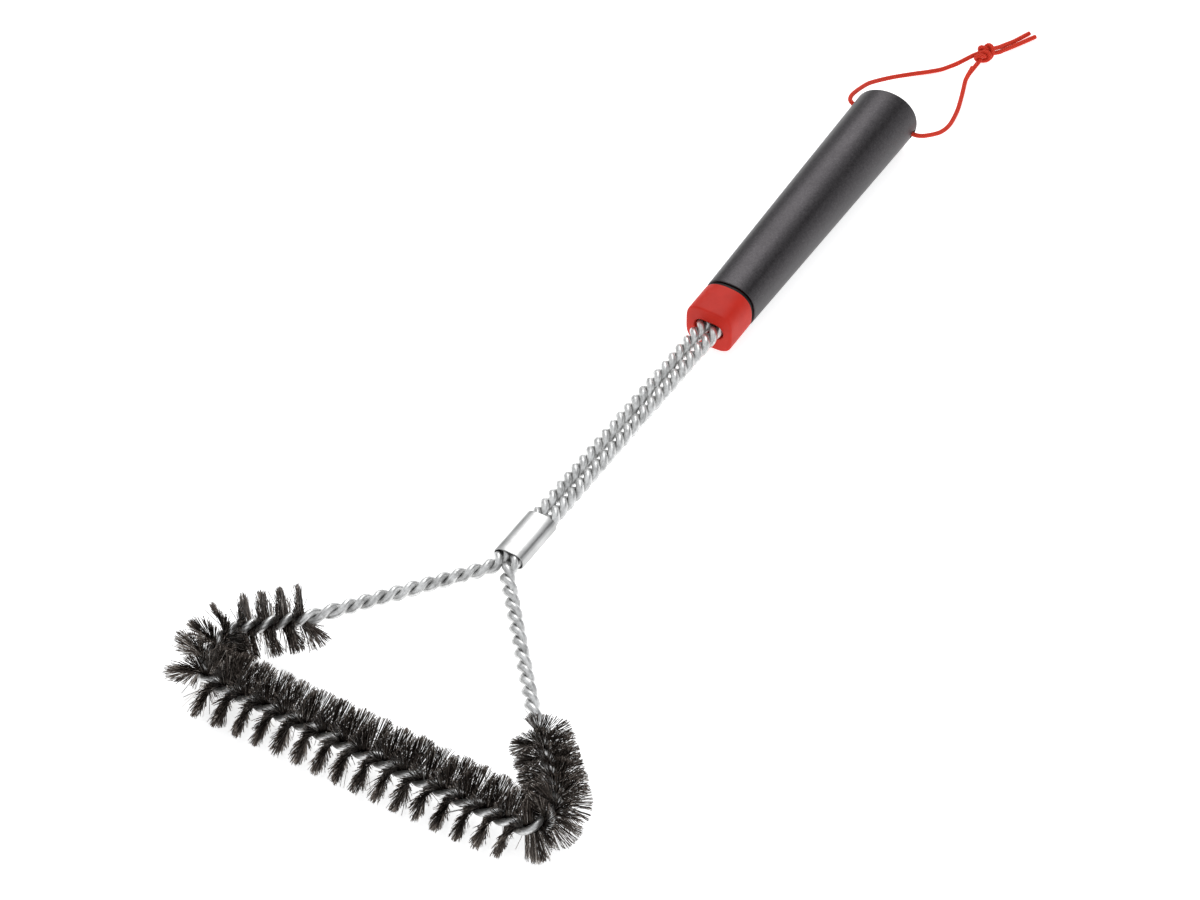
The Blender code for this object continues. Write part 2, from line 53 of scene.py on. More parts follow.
# Rope
WIRE_D = 3.4
HELIX_R = 1.66
ROPE_SPACING = 6.15
PITCH_STEM_LEFT = 12.45
PITCH_STEM_RIGHT = 13.2
PITCH_LEG = 13.6
PITCH_KNEE = 17.2
KNEE_RUN = 14.0                   # bare rope next to the bristles, twisted more loosely
PITCH_BRISTLED_LEFT = 15.8
PITCH_BRISTLED_RIGHT = 15.65
PITCH_CROSSBAR = 19.3
ROPE_END_Y = 340.0
APEX_Y = 109.0
APEX_Z = 24.4
KNEE_LEFT = (-55.0, 48.6)
KNEE_RIGHT = (51.7, 50.0)
OUTER_LEFT = (-80.3, 27.0)
OUTER_RIGHT = (84.5, 15.5)
CORNER_LEFT = (-80.3, 0.8)
CORNER_RIGHT = (85.9, -3.0)
BEND_APEX = 9.0
BEND_KNEE = 60.0
BEND_OUTER = 13.0
BEND_CORNER = 9.0
BEND_COLLAR = 120.0
BRISTLE_R = 18.0
TRIM_LEG = 14.8
TRIM_CROSSBAR = 17.2
TRIM_RIGHT_LEG = 14.2
TRIM_RIGHT_CORNER = 15.0
TRIM_CHANGE = 12                  # the run over which the bristles' length changes
TRIM_RIGHT_RUN = 25
FIRST_FROM_KNEE = 1.5             # where the bristles start, from the left knee
LAST_FROM_KNEE = 10.5

# Handle
BUTT_Y = 439.5
BUTT_R = 14.5
BUTT_SLANT = 0.12
COLLAR_Y = 281.7
TUBE_FRONT_Y = 300.5
TUBE_FRONT_A = 12.1
TUBE_FRONT_B = 11.4
TUBE_FRONT_N = 2.5
TUBE_BUTT_N = 2.1
TUBE_WALL = 1.2
HANDLE_DROP = 1.5
TILT = math.atan2(HANDLE_DROP, BUTT_Y - COLLAR_Y)
HOLE_Y = 436.3
HOLE_R = 2.2
HOLE_ROLL = math.radians(15)
PLUG_DEPTH = 0.9
RING_T = 1.5
GAP = 0.3
COLLAR_A = 11.3
COLLAR_B = 10.6
COLLAR_N = 3.6
SPIGOT_DEPTH = 12.0
CHANNEL_W = 14.2
CHANNEL_H = 7.9

# Ferrule
FERRULE_LENGTH = 26.8
FERRULE_FRONT_Y = 116.0
FERRULE_WALL = 0.5
FERRULE_INNER_W = 13.3
FERRULE_INNER_H = 7.1
FERRULE_N = 2.8

CORD_D = 2.1

# The hole's axis, which also leans with the butt
HOLE_AXIS = np.array([math.cos(HOLE_ROLL), BUTT_SLANT * math.cos(HOLE_ROLL), -math.sin(HOLE_ROLL)])
HOLE_AXIS /= np.linalg.norm(HOLE_AXIS)

swing = Vector(frame["joints"][0]["pos_m"])
ORIGIN = np.array([swing.x, swing.y - HOLE_Y * MM, 0.0])
random = np.random.default_rng(20)


def place(points):
    """Drawing points in metres in the frame."""
    return np.asarray(points, float) * MM + ORIGIN


def axis_z(y):
    """Height of the handle's axis."""
    return BUTT_R + (BUTT_Y - y) * math.tan(TILT)


def head_z(y):
    """Height of the rope's centre in the head's plane."""
    return BRISTLE_R + (APEX_Z - BRISTLE_R) * y / APEX_Y


# ---------------------------------------------------------------- camera, light and floor

AZIMUTH = math.radians(30.6)
ELEVATION = math.radians(45.9)
DISTANCE = 3.0
LENS = 212.4
AIM = (0.0, 220.0, 15.0)
AIM_RIGHT = -0.01508
AIM_UP = -0.01284
WORLD_RADIANCE = 0.9
KEY_RADIANCE = 3.0
FLOOR_GLOW = 0.7


def add_camera():
    back = Vector((math.sin(AZIMUTH) * math.cos(ELEVATION), -math.cos(AZIMUTH) * math.cos(ELEVATION),
                   math.sin(ELEVATION)))
    right = Vector((math.cos(AZIMUTH), math.sin(AZIMUTH), 0.0))
    up = back.cross(right)
    camera = bpy.data.objects.new("camera", bpy.data.cameras.new("camera"))
    bpy.context.scene.collection.objects.link(camera)
    camera.data.lens = LENS
    camera.data.clip_end = 50.0
    target = Vector(place(AIM)) + AIM_RIGHT * right + AIM_UP * up
    turned = Matrix((right, up, back)).transposed().to_4x4()
    camera.matrix_world = Matrix.Translation(target + DISTANCE * back) @ turned
    bpy.context.scene.camera = camera


def add_softbox(name, direction, distance, width, height, radiance):
    """A rectangular light that shines on the origin from a direction."""
    light = bpy.data.lights.new(name, "AREA")
    light.shape = "RECTANGLE"
    light.size = width
    light.size_y = height
    light.energy = radiance * math.pi * width * height
    lamp = bpy.data.objects.new(name, light)
    bpy.context.scene.collection.objects.link(lamp)
    toward = Vector(direction).normalized()
    lamp.location = toward * distance
    lamp.rotation_euler = toward.to_track_quat("Z", "Y").to_euler()
    lamp.visible_camera = False


def add_card(name, direction, distance, width, height, shade):
    """A grey card that keeps light from one side out of the reflections, standing along the brush."""
    mesh = bpy.data.meshes.new(name)
    w, h = width / 2, height / 2
    mesh.from_pydata([(-w, -h, 0), (w, -h, 0), (w, h, 0), (-w, h, 0)], [], [(0, 1, 2, 3)])
    card = bpy.data.objects.new(name, mesh)
    bpy.context.scene.collection.objects.link(card)
    toward = Vector(direction).normalized()
    across = Vector((0.0, 1.0, 0.0)).cross(toward).normalized()
    card.matrix_world = Matrix.Translation(toward * distance) @ Matrix(
        (across, toward.cross(across), toward)).transposed().to_4x4()
    grey = bpy.data.materials.new(name)
    grey.use_nodes = True
    grey.node_tree.nodes["Principled BSDF"].inputs["Base Color"].default_value = (shade, shade, shade, 1.0)
    mesh.materials.append(grey)


def add_studio():
    world = bpy.data.worlds.new("studio")
    world.use_nodes = True
    background = world.node_tree.nodes["Background"]
    background.inputs["Color"].default_value = (0.97, 0.985, 1.0, 1.0)
    background.inputs["Strength"].default_value = WORLD_RADIANCE
    bpy.context.scene.world = world
    bpy.context.scene.view_settings.view_transform = "Standard"
    add_softbox("key", (-0.30, 0.60, 0.75), 2.0, 0.7, 1.7, KEY_RADIANCE)
    add_card("card_right", (0.46, 0.58, 0.67), 1.5, 0.52, 2.0, 0.08)
    add_card("card_left", (-0.80, 0.58, 0.16), 1.5, 0.50, 2.0, 0.30)

    half = 8.0
    mesh = bpy.data.meshes.new("floor")
    corners = [(-half, -half, 0), (half, -half, 0), (half, half, 0), (-half, half, 0)]
    mesh.from_pydata(corners, [], [(0, 1, 2, 3)])
    floor = bpy.data.objects.new("floor", mesh)
    bpy.context.scene.collection.objects.link(floor)
    pale = bpy.data.materials.new("floor_pale")
    pale.use_nodes = True
    shader = pale.node_tree.nodes["Principled BSDF"]
    shader.inputs["Base Color"].default_value = (0.82, 0.82, 0.82, 1.0)
    shader.inputs["Emission Color"].default_value = (1.0, 1.0, 1.0, 1.0)
    shader.inputs["Emission Strength"].default_value = FLOOR_GLOW
    shader.inputs["Roughness"].default_value = 0.9
    shader.inputs["Specular IOR Level"].default_value = 0.1
    mesh.materials.append(pale)


# ---------------------------------------------------------------- materials

class Painter:
    """Short ways to add and link the nodes of one material."""

    def __init__(self, name, **sockets):
        self.material = bpy.data.materials.new(name)
        self.material.use_nodes = True
        self.tree = self.material.node_tree
        self.shader = self.tree.nodes["Principled BSDF"]
        for socket, value in sockets.items():
            self.shader.inputs[socket.replace("_", " ")].default_value = value

    def add(self, kind, **settings):
        node = self.tree.nodes.new(kind)
        for key, value in settings.items():
            setattr(node, key, value)
        return node

    def link(self, output, socket):
        self.tree.links.new(output, socket)

    def place(self, attribute=None, scale=(1.0, 1.0, 1.0)):
        """Texture coordinates in metres, or those of a named attribute, scaled."""
        if attribute:
            source = self.add("ShaderNodeAttribute", attribute_name=attribute).outputs["Vector"]
        else:
            source = self.add("ShaderNodeTexCoord").outputs["Object"]
        mapping = self.add("ShaderNodeMapping")
        mapping.inputs["Scale"].default_value = scale
        self.link(source, mapping.inputs["Vector"])
        return mapping.outputs["Vector"]

    def noise(self, where, scale, detail=2.0, roughness=0.5):
        node = self.add("ShaderNodeTexNoise")
        node.inputs["Scale"].default_value = scale
        node.inputs["Detail"].default_value = detail
        node.inputs["Roughness"].default_value = roughness
        self.link(where, node.inputs["Vector"])
        return node.outputs["Fac"]

    def span(self, value, low, high, to_low, to_high):
        """value from low..high mapped to to_low..to_high, held within it."""
        node = self.add("ShaderNodeMapRange")
        for socket, number in zip(("From Min", "From Max", "To Min", "To Max"), (low, high, to_low, to_high)):
            node.inputs[socket].default_value = number
        self.link(value, node.inputs["Value"])
        return node.outputs["Result"]

    def ramp(self, value, *stops):
        """A colour for each place between the stops (position, colour)."""
        node = self.add("ShaderNodeValToRGB")
        elements = node.color_ramp.elements
        while len(elements) < len(stops):
            elements.new(0.5)
        for element, (position, color) in zip(elements, stops):
            element.position = position
            element.color = (*color, 1.0)
        self.link(value, node.inputs["Fac"])
        return node.outputs["Color"]

    def mix(self, kind, factor, a, b):
        """Two colours mixed; each argument is a socket or a fixed value."""
        node = self.add("ShaderNodeMix", data_type="RGBA", blend_type=kind)
        for socket, value in ((node.inputs[0], factor), (node.inputs[6], a), (node.inputs[7], b)):
            if hasattr(value, "links"):
                self.link(value, socket)
            elif isinstance(value, tuple):
                socket.default_value = (*value, 1.0)
            else:
                socket.default_value = value
        return node.outputs[2]

    def total(self, kind, a, b):
        node = self.add("ShaderNodeMath", operation=kind)
        for socket, value in zip(node.inputs, (a, b)):
            if hasattr(value, "links"):
                self.link(value, socket)
            else:
                socket.default_value = value
        return node.outputs[0]

    def bump(self, height, strength, distance):
        node = self.add("ShaderNodeBump")
        node.inputs["Strength"].default_value = strength
        node.inputs["Distance"].default_value = distance
        self.link(height, node.inputs["Height"])
        self.link(node.outputs["Normal"], self.shader.inputs["Normal"])

    def color(self, output):
        self.link(output, self.shader.inputs["Base Color"])

    def rough(self, output):
        self.link(output, self.shader.inputs["Roughness"])


def zinc_wire():
    paint = Painter("zinc_wire", Metallic=0.92)
    drawn = paint.place("strand", (60.0, 900.0, 900.0))
    cloud = paint.noise(paint.place(), 260.0, 3.0)
    spangle = paint.noise(paint.place(), 900.0, 3.0, 0.6)
    streaks = paint.noise(drawn, 3.0, 3.0, 0.6)
    mottle = paint.total("ADD", paint.total("MULTIPLY", cloud, 0.40), paint.total("MULTIPLY", spangle, 0.30))
    tone = paint.total("ADD", mottle, paint.total("MULTIPLY", streaks, 0.30))
    paint.color(paint.ramp(tone, (0.36, (0.33, 0.33, 0.325)), (0.50, (0.60, 0.60, 0.595)),
                           (0.64, (0.86, 0.86, 0.855))))
    paint.rough(paint.span(tone, 0.38, 0.62, 0.44, 0.27))
    paint.bump(paint.total("ADD", streaks, spangle), 0.45, 0.00006)
    return paint.material


def bristle_steel():
    paint = Painter("bristle_steel", Metallic=1.0)
    shade = paint.add("ShaderNodeAttribute", attribute_name="shade").outputs["Fac"]
    paint.color(paint.ramp(shade, (0.0, (0.010, 0.008, 0.007)), (0.45, (0.075, 0.060, 0.051)),
                           (0.75, (0.24, 0.205, 0.18)), (1.0, (0.80, 0.75, 0.70))))
    paint.rough(paint.span(shade, 0.0, 1.0, 0.44, 0.24))
    return paint.material


def polished_steel():
    paint = Painter("polished_steel", Metallic=1.0)
    brushed = paint.noise(paint.place(scale=(2600.0, 90.0, 2600.0)), 1.0, 3.0, 0.6)
    smear = paint.noise(paint.place(), 120.0, 2.0)
    paint.color(paint.ramp(smear, (0.3, (0.40, 0.40, 0.396)), (0.7, (0.52, 0.52, 0.516))))
    paint.rough(paint.span(brushed, 0.3, 0.7, 0.26, 0.38))
    paint.bump(brushed, 0.12, 0.00004)
    return paint.material


def handle_grey():
    paint = Painter("handle_grey", Metallic=1.0)
    flake = paint.noise(paint.place(), 3800.0, 1.0)
    grain = paint.noise(paint.place(), 900.0, 4.0, 0.6)
    worn = paint.noise(paint.place(), 28.0, 4.0, 0.55)
    tone = paint.ramp(grain, (0.30, (0.045, 0.042, 0.0445)), (0.70, (0.072, 0.067, 0.070)))
    glint = paint.ramp(flake, (0.60, (0.0, 0.0, 0.0)), (0.72, (0.050, 0.048, 0.052)))
    paint.color(paint.mix("ADD", 1.0, tone, glint))
    paint.rough(paint.total("ADD", paint.span(worn, 0.3, 0.7, 0.36, 0.43),
                            paint.span(grain, 0.3, 0.7, 0.0, 0.06)))
    paint.bump(grain, 0.25, 0.00005)
    return paint.material


def red_plastic():
    paint = Painter("red_plastic", Metallic=0.0, Specular_IOR_Level=0.2)
    mottled = paint.noise(paint.place(), 180.0, 3.0)
    grain = paint.noise(paint.place(), 2600.0, 3.0, 0.6)
    paint.color(paint.ramp(mottled, (0.3, (0.49, 0.016, 0.007)), (0.7, (0.55, 0.021, 0.010))))
    paint.rough(paint.span(grain, 0.3, 0.7, 0.44, 0.56))
    paint.bump(grain, 0.22, 0.00006)
    return paint.material


def black_plastic():
    paint = Painter("black_plastic", Metallic=0.0, Specular_IOR_Level=0.25)
    grain = paint.noise(paint.place(), 1500.0, 4.0, 0.6)
    dust = paint.noise(paint.place(), 160.0, 3.0)
    paint.color(paint.ramp(dust, (0.35, (0.004, 0.004, 0.004)), (0.75, (0.010, 0.010, 0.010))))
    paint.rough(paint.span(grain, 0.3, 0.7, 0.45, 0.62))
    paint.bump(grain, 0.3, 0.00008)
    return paint.material


def orange_cord():
    paint = Painter("orange_cord", Metallic=0.0, Specular_IOR_Level=0.2)
    relief = paint.add("ShaderNodeAttribute", attribute_name="relief").outputs["Fac"]
    thread = paint.noise(paint.place("strand", (1500.0, 6000.0, 6000.0)), 1.0, 2.0)
    warmth = paint.noise(paint.place(), 350.0, 2.0)
    # The cord's colour darkens towards the braid's grooves (low relief): painted shade in the grooves, while
    # the high relief keeps the cord's own orange.
    yarn_with_groove_shade = paint.ramp(relief, (0.0, (0.12, 0.003, 0.002)), (0.4, (0.56, 0.022, 0.010)),
                      (1.0, (0.98, 0.082, 0.034)))
    faded = paint.ramp(thread, (0.3, (0.80, 0.80, 0.80)), (0.7, (1.0, 1.0, 1.0)))
    patchy = paint.ramp(warmth, (0.3, (0.92, 0.86, 0.86)), (0.7, (1.0, 1.0, 1.0)))
    paint.color(paint.mix("MULTIPLY", 1.0, paint.mix("MULTIPLY", 1.0, yarn_with_groove_shade, faded), patchy))
    paint.rough(paint.span(thread, 0.3, 0.7, 0.55, 0.75))
    paint.bump(thread, 0.4, 0.00005)
    return paint.material


# ---------------------------------------------------------------- meshes

def add_mesh(name, points, faces, made_material, body, slot, sharp_angle=None, **attributes):
    """A piece from points in metres and lists of faces with the same number of corners."""
    faces = [np.asarray(f, np.int32) for f in faces if len(f)]
    corners = np.concatenate([f.ravel() for f in faces])
    sizes = np.concatenate([np.full(len(f), f.shape[1]) for f in faces])
    mesh = bpy.data.meshes.new(name)
    mesh.vertices.add(len(points))
    mesh.vertices.foreach_set("co", np.asarray(points, np.float32).ravel())
    mesh.loops.add(len(corners))
    mesh.loops.foreach_set("vertex_index", corners)
    mesh.polygons.add(len(sizes))
    mesh.polygons.foreach_set("loop_start", np.concatenate([[0], np.cumsum(sizes)[:-1]]).astype(np.int32))
    mesh.update(calc_edges=True)
    mesh.validate()
    mesh.shade_smooth()
    if sharp_angle:
        mesh.set_sharp_from_angle(angle=math.radians(sharp_angle))
    for key, values in attributes.items():
        kind, field = ("FLOAT_VECTOR", "vector") if values.ndim == 2 else ("FLOAT", "value")
        layer = mesh.attributes.new(key, kind, "POINT")
        layer.data.foreach_set(field, values.astype(np.float32).ravel())
    mesh.materials.append(made_material)
    made = bpy.data.objects.new(name, mesh)
    bpy.context.scene.collection.objects.link(made)
    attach(made, body)
    return made


def unit(vectors):
    return vectors / np.linalg.norm(vectors, axis=-1, keepdims=True)


def ring_faces(rings, sides, closed=False):
    """Quads between successive rings of sides points."""
    a = np.arange(rings if closed else rings - 1)[:, None] * sides
    b = (a + sides) % (rings * sides)
    i = np.arange(sides)[None, :]
    j = (i + 1) % sides
    return np.stack([a + i, a + j, b + j, b + i], axis=-1).reshape(-1, 4)


def path_frames(path):
    """Two cross directions at each point of a path, carried along it without twisting."""
    tangent = unit(np.gradient(path, axis=0))
    first = np.cross(tangent[0], [0.0, 0.0, 1.0])
    if np.linalg.norm(first) < 0.1:
        first = np.cross(tangent[0], [0.0, 1.0, 0.0])
    normal = np.empty_like(path)
    normal[0] = unit(first)
    for k in range(1, len(path)):
        normal[k] = unit(normal[k - 1] - tangent[k] * (normal[k - 1] @ tangent[k]))
    return normal, np.cross(tangent, normal), tangent


def sweep(path, radius, sides):
    """Points, faces and around-angles of a tube along a path, closed by a point at each end."""
    normal, binormal, _ = path_frames(path)
    around = 2 * math.pi * np.arange(sides) / sides
    radius = np.broadcast_to(np.asarray(radius, float), (len(path), sides))
    rings = (path[:, None] + radius[..., None] * (np.cos(around)[None, :, None] * normal[:, None]
                                                  + np.sin(around)[None, :, None] * binormal[:, None]))
    points = np.concatenate([rings.reshape(-1, 3), [path[0]], [path[-1]]])
    count = len(path) * sides
    i = np.arange(sides)
    j = (i + 1) % sides
    start = np.stack([j, i, np.full(sides, count)], axis=-1)
    end = np.stack([count - sides + i, count - sides + j, np.full(sides, count + 1)], axis=-1)
    return points, [ring_faces(len(path), sides), np.concatenate([start, end])], around


def smooth_through(route, step):
    """Points every step along a Catmull-Rom curve through the route."""
    route = np.array(route, float)
    padded = np.vstack([2 * route[0] - route[1], route, 2 * route[-1] - route[-2]])
    t = np.linspace(0, 1, 30, endpoint=False)[:, None]
    dense = [0.5 * (2 * b + (c - a) * t + (2 * a - 5 * b + 4 * c - d) * t ** 2
                    + (3 * b - a - 3 * c + d) * t ** 3)
             for a, b, c, d in zip(padded, padded[1:], padded[2:], padded[3:])]
    dense = np.concatenate(dense + [route[-1:]])
    s = np.concatenate([[0.0], np.cumsum(np.linalg.norm(np.diff(dense, axis=0), axis=1))])
    wanted = np.linspace(0, s[-1], max(2, int(round(s[-1] / step)) + 1))
    return np.stack([np.interp(wanted, s, dense[:, k]) for k in range(3)], axis=1)


# ---------------------------------------------------------------- cord

CORD_FLOOR_Z = CORD_D / 2 + 0.35
YARNS = 6
BRAID_PITCH = 7.0
BRAID_SIDES = 40
BRAID_STEP = 0.16
BRAID_DEPTH = 0.2
LEFT_ARM = [(-10.0, 435.1, 17.2), (-12.4, 434.8, 17.85), (-14.6, 434.8, 18.3), (-16.3, 435.7, 18.4),
            (-17.5, 437.7, 18.0), (-18.2, 440.7, 17.2), (-18.7, 446.0, 15.2), (-19.1, 453.3, 12.0),
            (-19.0, 458.6, 9.6), (-17.6, 465.0, 6.8), (-15.4, 471.2, 4.4), (-12.4, 476.8, 2.6),
            (-8.5, 481.9, 1.6), (-4.1, 486.1, CORD_FLOOR_Z), (0.2, 490.2, 1.6), (3.3, 493.6, 2.4),
            (6.1, 496.6, 3.6)]
RIGHT_ARM = [(10.0, 437.5, 11.85), (12.4, 437.8, 11.2), (14.4, 438.2, 10.7), (16.3, 439.0, 10.2),
             (18.0, 440.7, 9.5), (19.3, 443.2, 8.5), (20.6, 446.6, 7.1), (21.5, 450.8, 5.4),
             (21.7, 456.0, 3.8), (21.0, 462.2, 2.4), (19.2, 470.7, 1.5), (17.0, 477.9, CORD_FLOOR_Z),
             (14.9, 484.1, 1.5), (13.0, 490.0, 2.0), (12.5, 497.0, 3.3)]
KNOT_CENTRE = np.array([13.9, 505.8, 4.9])
KNOT_ALONG = np.array([0.50, 0.86, 0.0])
KNOT_ACROSS = np.array([0.86, -0.50, 0.0])
KNOT_UP = np.array([0.0, 0.0, 1.0])
LOOSE_SIZE = 1.9
TIE_PULL = 0.9
TIE_ROUNDS = 700
TIE_SHOVES = 4                    # how often the strands push each other apart in each round
TIE_SPACING = 1.02                # the strands' least distance, in diameters
STRAND_OFFSET = 0.6               # each strand's distance from the bow, in diameters
SMOOTH_ROUNDS = 30
TAIL_LEFT = [(15.9, 511.2, 4.9), (17.8, 517.0, 3.4), (19.7, 522.9, 2.0), (22.9, 531.7, CORD_FLOOR_Z)]
TAIL_RIGHT = [(17.3, 511.6, 3.3), (19.5, 516.5, 2.3), (21.6, 521.8, 1.5), (26.3, 531.1, CORD_FLOOR_Z)]
HELD = 4


def braid(path):
    """Radius, relief and strand coordinates of a braided cord along a path of evenly spaced points."""
    s = np.concatenate([[0.0], np.cumsum(np.linalg.norm(np.diff(path, axis=0), axis=1))])
    around = np.arange(BRAID_SIDES) / BRAID_SIDES
    u = YARNS * around[None, :]
    v = YARNS * s[:, None] / BRAID_PITCH
    right, left = u + v, u - v
    over = (np.floor(right) + np.floor(left)) % 2 == 0
    across = np.where(over, right, left) % 1.0 - 0.5
    along = np.where(over, left, right) % 1.0 - 0.5
    relief = np.sqrt(np.clip(1 - (1.9 * across) ** 2, 0, 1)) * np.cos(math.pi * along * 0.86)
    relief = np.clip(relief, 0.0, 1.0)
    radius = CORD_D / 2 - BRAID_DEPTH * (1 - relief)
    angle = 2 * math.pi * around[None, :]
    strand = np.stack([np.broadcast_to(s[:, None], relief.shape), np.cos(angle) + 0 * v,
                       np.sin(angle) + 0 * v],
                      axis=-1) * MM
    return radius, relief, strand


def braided_tube(path):
    """Mesh data of a braided cord along a path in drawing coordinates."""
    radius, relief, strand = braid(path)
    points, faces, _ = sweep(path, radius, BRAID_SIDES)
    relief = np.concatenate([relief.ravel(), [0.3, 0.3]])
    strand = np.concatenate([strand.reshape(-1, 3), strand[0, :1] * 0, strand[-1, :1]])
    return points, faces, relief, strand


def joined(parts):
    """Several meshes' data as one."""
    points, quads, triangles, relief, strand = [], [], [], [], []
    offset = 0
    for part_points, (part_quads, part_triangles), part_relief, part_strand in parts:
        points.append(part_points)
        quads.append(part_quads + offset)
        triangles.append(part_triangles + offset)
        relief.append(part_relief)
        strand.append(part_strand)
        offset += len(part_points)
    return (np.concatenate(points), [np.concatenate(quads), np.concatenate(triangles)],
            np.concatenate(relief), np.concatenate(strand))


def add_cord(name, parts, made_material):
    points, faces, relief, strand = joined(parts)
    return add_mesh(name, place(points), faces, made_material, "loop", "orange_cord",
                    relief=relief, strand=strand)


def loose_knot(side):
    """One strand of a loosely tied overhand knot between the arms and the tails, side being -1 or 1."""
    t = np.linspace(-2.16, 2.16, 41)
    bow = np.stack([t ** 3 - 3 * t, t ** 5 / 4 - 2.5 * t, 4 * t ** 2 - t ** 4 - 1.5], axis=1)
    bow = KNOT_CENTRE + bow @ np.array([unit(KNOT_ACROSS), unit(KNOT_ALONG), KNOT_UP]) * LOOSE_SIZE
    normal, _, _ = path_frames(bow)
    return bow + normal * side * CORD_D * STRAND_OFFSET


def tie(strands):
    """The strands drawn tight: they shorten until they lie against each other, their held ends fixed."""
    points = np.concatenate(strands)
    count = len(strands[0])
    index = np.arange(len(points))
    same = (index[:, None] < count) == (index[None] < count)
    near = same & (np.abs(index[:, None] - index[None]) < 3)
    inner = index[(index % count >= HELD) & (index % count < count - HELD)]
    middle = inner[(inner % count > count * 0.3) & (inner % count < count * 0.7)]
    for _ in range(TIE_ROUNDS):
        points[inner] += TIE_PULL * ((points[inner - 1] + points[inner + 1]) / 2 - points[inner])
        for _ in range(TIE_SHOVES):
            apart = points[:, None] - points[None]
            gap = np.linalg.norm(apart, axis=2) + near * 9.0 + 1e-9
            push = np.clip(CORD_D * TIE_SPACING - gap, 0, None)
            shove = (apart / gap[..., None] * push[..., None]).sum(1)
            touching = np.maximum((push > 0).sum(1), 1)
            points[inner] += 0.5 * (shove / np.sqrt(touching)[:, None])[inner]
        points[middle] += (KNOT_CENTRE - points[middle].mean(0)) * 0.1
        points[inner, 2] = np.maximum(points[inner, 2], CORD_D / 2 + 0.1)
    return points[:count], points[count:]


def relaxed(path, rounds):
    """A path of close points with its small kinks smoothed away."""
    for _ in range(rounds):
        path[1:-1] = (path[:-2] + 2 * path[1:-1] + path[2:]) / 4
    return path


def knot_strands():
    """Two strands from the loop's arms through the knot to their tails."""
    made = []
    for side, arm, tail in ((-1, LEFT_ARM, TAIL_LEFT), (1, RIGHT_ARM, TAIL_RIGHT)):
        bow = loose_knot(side)
        made.append(smooth_through([arm[-2], arm[-1], *bow[3:-3:3], tail[0], tail[1]], 1.0))
    count = max(len(r) for r in made)
    made = [np.stack([np.interp(np.linspace(0, len(r) - 1, count), np.arange(len(r)), r[:, k])
                      for k in range(3)], axis=1) for r in made]
    left, right = tie(made)
    return [relaxed(smooth_through(np.vstack([strand, tail[2:]]), BRAID_STEP), SMOOTH_ROUNDS)
            for strand, tail in ((left, TAIL_LEFT), (right, TAIL_RIGHT))]


def add_cords(made_material):
    knot = add_cord("cord_knot_tied", [braided_tube(path) for path in knot_strands()], made_material)
    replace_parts(knot, "cord_knot", "cord_tail_left", "cord_tail_right")
    for side, arm in ((-1, LEFT_ARM), (1, RIGHT_ARM)):
        middle = np.array([0.0, HOLE_Y, axis_z(HOLE_Y)])
        inside = [tuple(middle + HOLE_AXIS * side * reach) for reach in (0.05, 5.0)]
        path = smooth_through(inside + arm, BRAID_STEP)
        cord = add_cord("cord_left" if side < 0 else "cord_right", [braided_tube(path)], made_material)
        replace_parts(cord, "cord_loop")


# ---------------------------------------------------------------- rope

def rounded_route(corners, radii, step=0.4):
    """Points every step along straight runs joined by arcs of the given radii."""
    corners = [np.array(c, float) for c in corners]
    points = [corners[0]]

    def run_to(end):
        start = points[-1]
        count = max(1, int(np.linalg.norm(end - start) / step))
        points.extend(start + (end - start) * (k + 1) / count for k in range(count))

    for before, here, after, radius in zip(corners, corners[1:], corners[2:], radii):
        inward, outward = unit(before - here), unit(after - here)
        turn = math.pi - math.acos(np.clip(inward @ outward, -1, 1))
        centre = here + unit(inward + outward) * radius / math.cos(turn / 2)
        start = here + inward * radius * math.tan(turn / 2)
        run_to(start)
        first = (start - centre) / radius
        count = max(2, int(radius * turn / step))
        for k in range(1, count + 1):
            angle = turn * k / count
            points.append(centre + radius * (first * math.cos(angle) - inward * math.sin(angle)))
    run_to(corners[-1])
    return np.array(points)


def side_route(side, knee, outer, corner):
    """Corners of one side of the rope, from the handle to the front corner."""
    x = side * ROPE_SPACING / 2
    return [(x, ROPE_END_Y, axis_z(ROPE_END_Y)), (x, COLLAR_Y, axis_z(COLLAR_Y)), (x, APEX_Y, APEX_Z),
            (*knee, head_z(knee[1])), (*outer, head_z(outer[1])), (*corner, BRISTLE_R)]


